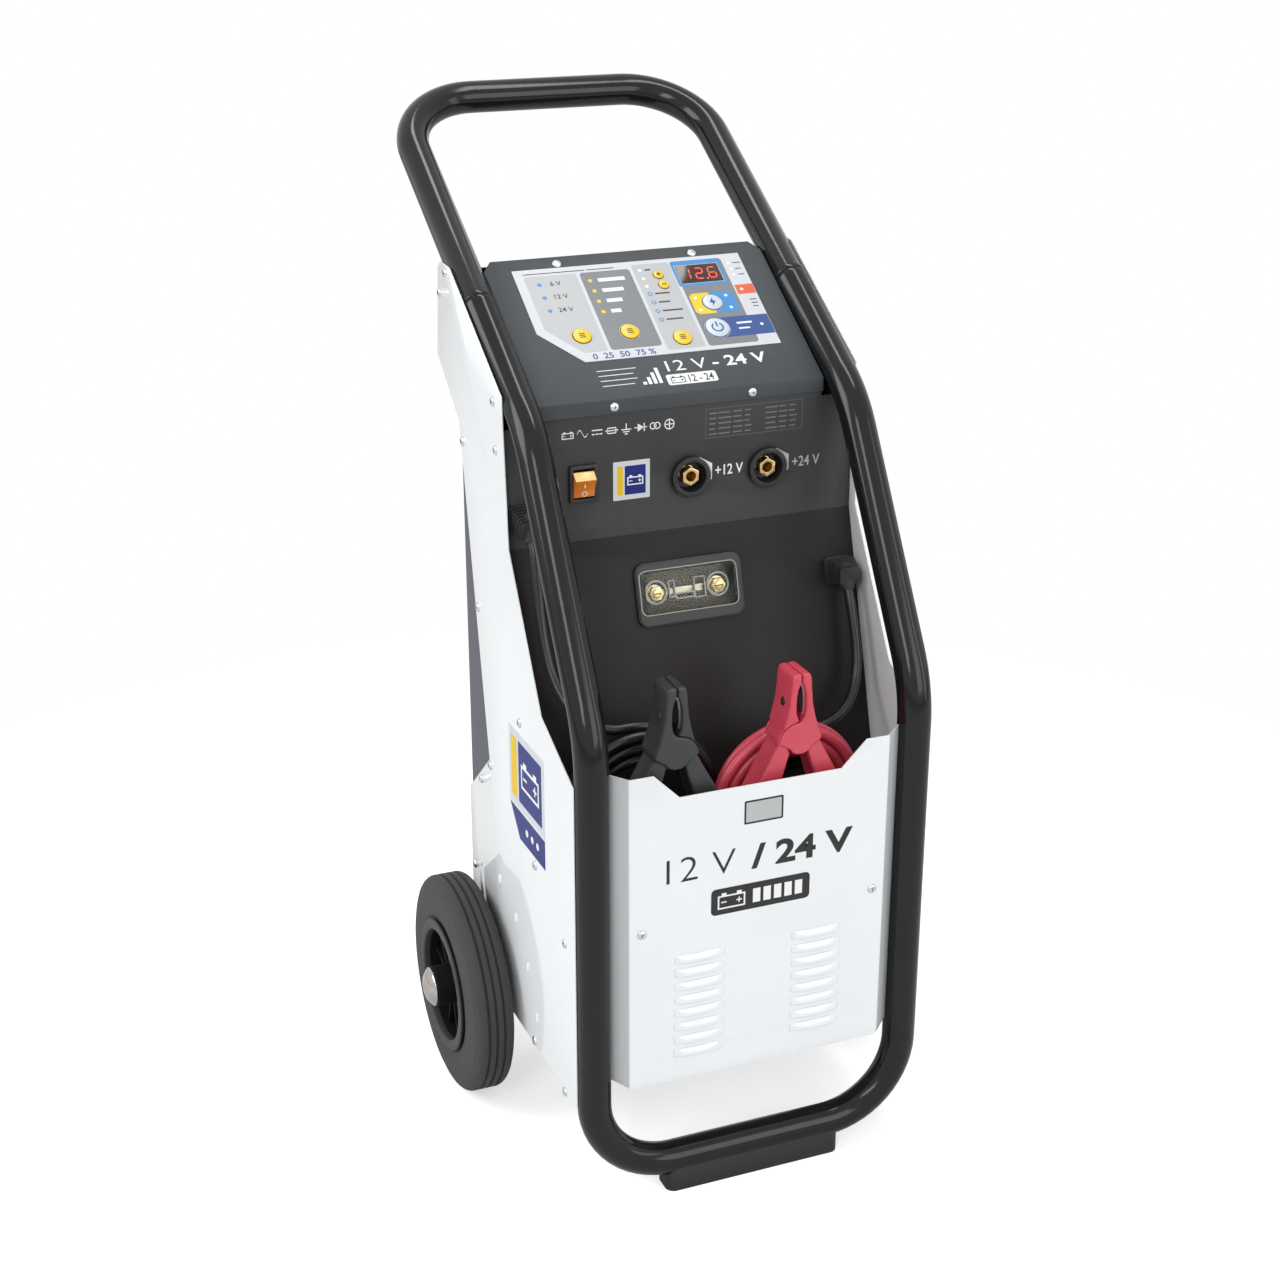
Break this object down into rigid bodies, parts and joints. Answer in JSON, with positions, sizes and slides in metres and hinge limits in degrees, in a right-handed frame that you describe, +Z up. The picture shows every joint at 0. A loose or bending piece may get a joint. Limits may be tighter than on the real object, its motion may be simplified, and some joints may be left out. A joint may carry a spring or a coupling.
{
  "type": "wheeled car battery charger and starter",
  "caption": "Wheeled battery charger and engine starter on a bent tube trolley, with sloping keypad console, front lead bin, clamp leads and mains lead.",
  "frame": {"origin": "floor point under the middle of the overall box", "axes": "+X to the right seen from the front, +Y to the back, +Z up"},
  "size_m": [0.4368, 0.501, 0.8565],
  "materials": {
    "frame_paint": "semi-gloss black powder coat",
    "foot_rubber": "matt moulded",
    "white_paint": "smooth gloss white",
    "grey_paint": "fine textured anthracite",
    "zinc": "bright zinc plate",
    "overlay_film": "printed satin film",
    "display_lens": "dark red lens",
    "board": "solder mask",
    "button": "yellow domed key",
    "black_plastic": "satin black moulding",
    "orange_plastic": "translucent orange",
    "brass": "bright brass",
    "clear_cover": "clear moulding",
    "gland_rubber": "matt ribbed",
    "core_steel": "stacked sheet",
    "winding": "varnished copper",
    "aluminium": "extruded",
    "tyre": "matt black rubber",
    "chrome": "polished",
    "red_plastic": "glossy red moulding",
    "red_cord": "smooth red sheath",
    "black_cord": "smooth black sheath"
  },
  "bodies": {
    "trolley": {"lower_frame": "frame_paint", "handle_loop": "frame_paint", "foot_pad": "foot_rubber", "left_side_panel": "white_paint", "right_side_panel": "white_paint", "rear_cover": "grey_paint", "front_cover": "white_paint", "fascia_panel": "grey_paint", "console_lid": "grey_paint", "bin_floor": "grey_paint", "base_plate": "zinc", "keypad_overlay": "overlay_film", "display_window": "display_lens", "control_board": "board", "rocker_bezel": "black_plastic", "socket_12v_shell": "black_plastic", "socket_12v_contact": "brass", "socket_24v_shell": "black_plastic", "socket_24v_contact": "brass", "fuse_tray": "black_plastic", "fuse_cover": "clear_cover", "fuse_link": "brass", "fuse_nuts": "brass", "charge_gland": "gland_rubber", "mains_gland": "gland_rubber", "transformer_core": "core_steel", "transformer_winding": "winding", "heat_sink": "aluminium", "rectifier_studs": "brass", "axle": "zinc", "hub_caps": "chrome", "body_screws": "zinc", "console_screws": "zinc", "black_clamp_arm": "black_plastic", "black_clamp_pin": "zinc", "black_clamp_spring": "zinc", "red_clamp_arm": "red_plastic", "red_clamp_pin": "zinc", "red_clamp_spring": "zinc", "black_lead": "black_cord", "black_coil": "black_cord", "red_coil": "red_cord", "red_plug": "black_plastic", "mains_lead": "black_cord", "mains_coil": "black_cord", "mains_plug": "black_plastic"},
    "left_wheel": {"left_tyre": "tyre", "left_rim": "black_plastic"},
    "right_wheel": {"right_tyre": "tyre", "right_rim": "black_plastic"},
    "rocker_key": {"rocker": "orange_plastic"},
    "black_jaw": {"black_clamp_jaw": "black_plastic"},
    "red_jaw": {"red_clamp_jaw": "red_plastic"},
    "voltage_key": {"voltage_button": "button"},
    "rating_key": {"rating_button": "button"},
    "type_key": {"type_button": "button"},
    "plus_key": {"plus_button": "button"},
    "minus_key": {"minus_button": "button"},
    "mode_key": {"mode_button": "button"},
    "start_key": {"start_button": "button"}
  },
  "joints": [
    {"name": "left_wheel_spin", "type": "hinge", "parent": "trolley", "child": "left_wheel", "pos_m": [-0.1815, -0.01246, 0.098], "axis": [1, 0, 0], "continuous": true},
    {"name": "right_wheel_spin", "type": "hinge", "parent": "trolley", "child": "right_wheel", "pos_m": [0.1815, -0.01246, 0.098], "axis": [1, 0, 0], "continuous": true},
    {"name": "rocker_tip", "type": "hinge", "parent": "trolley", "child": "rocker_key", "pos_m": [-0.088, -0.07986, 0.5768], "axis": [-1, 0, 0], "range_deg": [0, 16]},
    {"name": "black_jaw_open", "type": "hinge", "parent": "trolley", "child": "black_jaw", "pos_m": [-0.0704, -0.22546, 0.393], "axis": [0, 1, 0], "range_deg": [0, 20], "stiffness_Nm_per_rad": 2, "springref_deg": -28.65},
    {"name": "red_jaw_open", "type": "hinge", "parent": "trolley", "child": "red_jaw", "pos_m": [0.0366, -0.22546, 0.388], "axis": [0, -1, 0], "range_deg": [0, 20], "stiffness_Nm_per_rad": 2, "springref_deg": -28.65},
    {"name": "voltage_press", "type": "slide", "parent": "trolley", "child": "voltage_key", "axis": [0, 0.5476, -0.8368], "range_m": [0, 0.0006], "stiffness_N_per_m": 800, "springref_m": -0.0008},
    {"name": "rating_press", "type": "slide", "parent": "trolley", "child": "rating_key", "axis": [0, 0.5476, -0.8368], "range_m": [0, 0.0006], "stiffness_N_per_m": 800, "springref_m": -0.0008},
    {"name": "type_press", "type": "slide", "parent": "trolley", "child": "type_key", "axis": [0, 0.5476, -0.8368], "range_m": [0, 0.0006], "stiffness_N_per_m": 800, "springref_m": -0.0008},
    {"name": "plus_press", "type": "slide", "parent": "trolley", "child": "plus_key", "axis": [0, 0.5476, -0.8368], "range_m": [0, 0.0006], "stiffness_N_per_m": 800, "springref_m": -0.0008},
    {"name": "minus_press", "type": "slide", "parent": "trolley", "child": "minus_key", "axis": [0, 0.5476, -0.8368], "range_m": [0, 0.0006], "stiffness_N_per_m": 800, "springref_m": -0.0008},
    {"name": "mode_press", "type": "slide", "parent": "trolley", "child": "mode_key", "axis": [0, 0.5476, -0.8368], "range_m": [0, 0.0006], "stiffness_N_per_m": 800, "springref_m": -0.0008},
    {"name": "start_press", "type": "slide", "parent": "trolley", "child": "start_key", "axis": [0, 0.5476, -0.8368], "range_m": [0, 0.0006], "stiffness_N_per_m": 800, "springref_m": -0.0008}
  ]
}
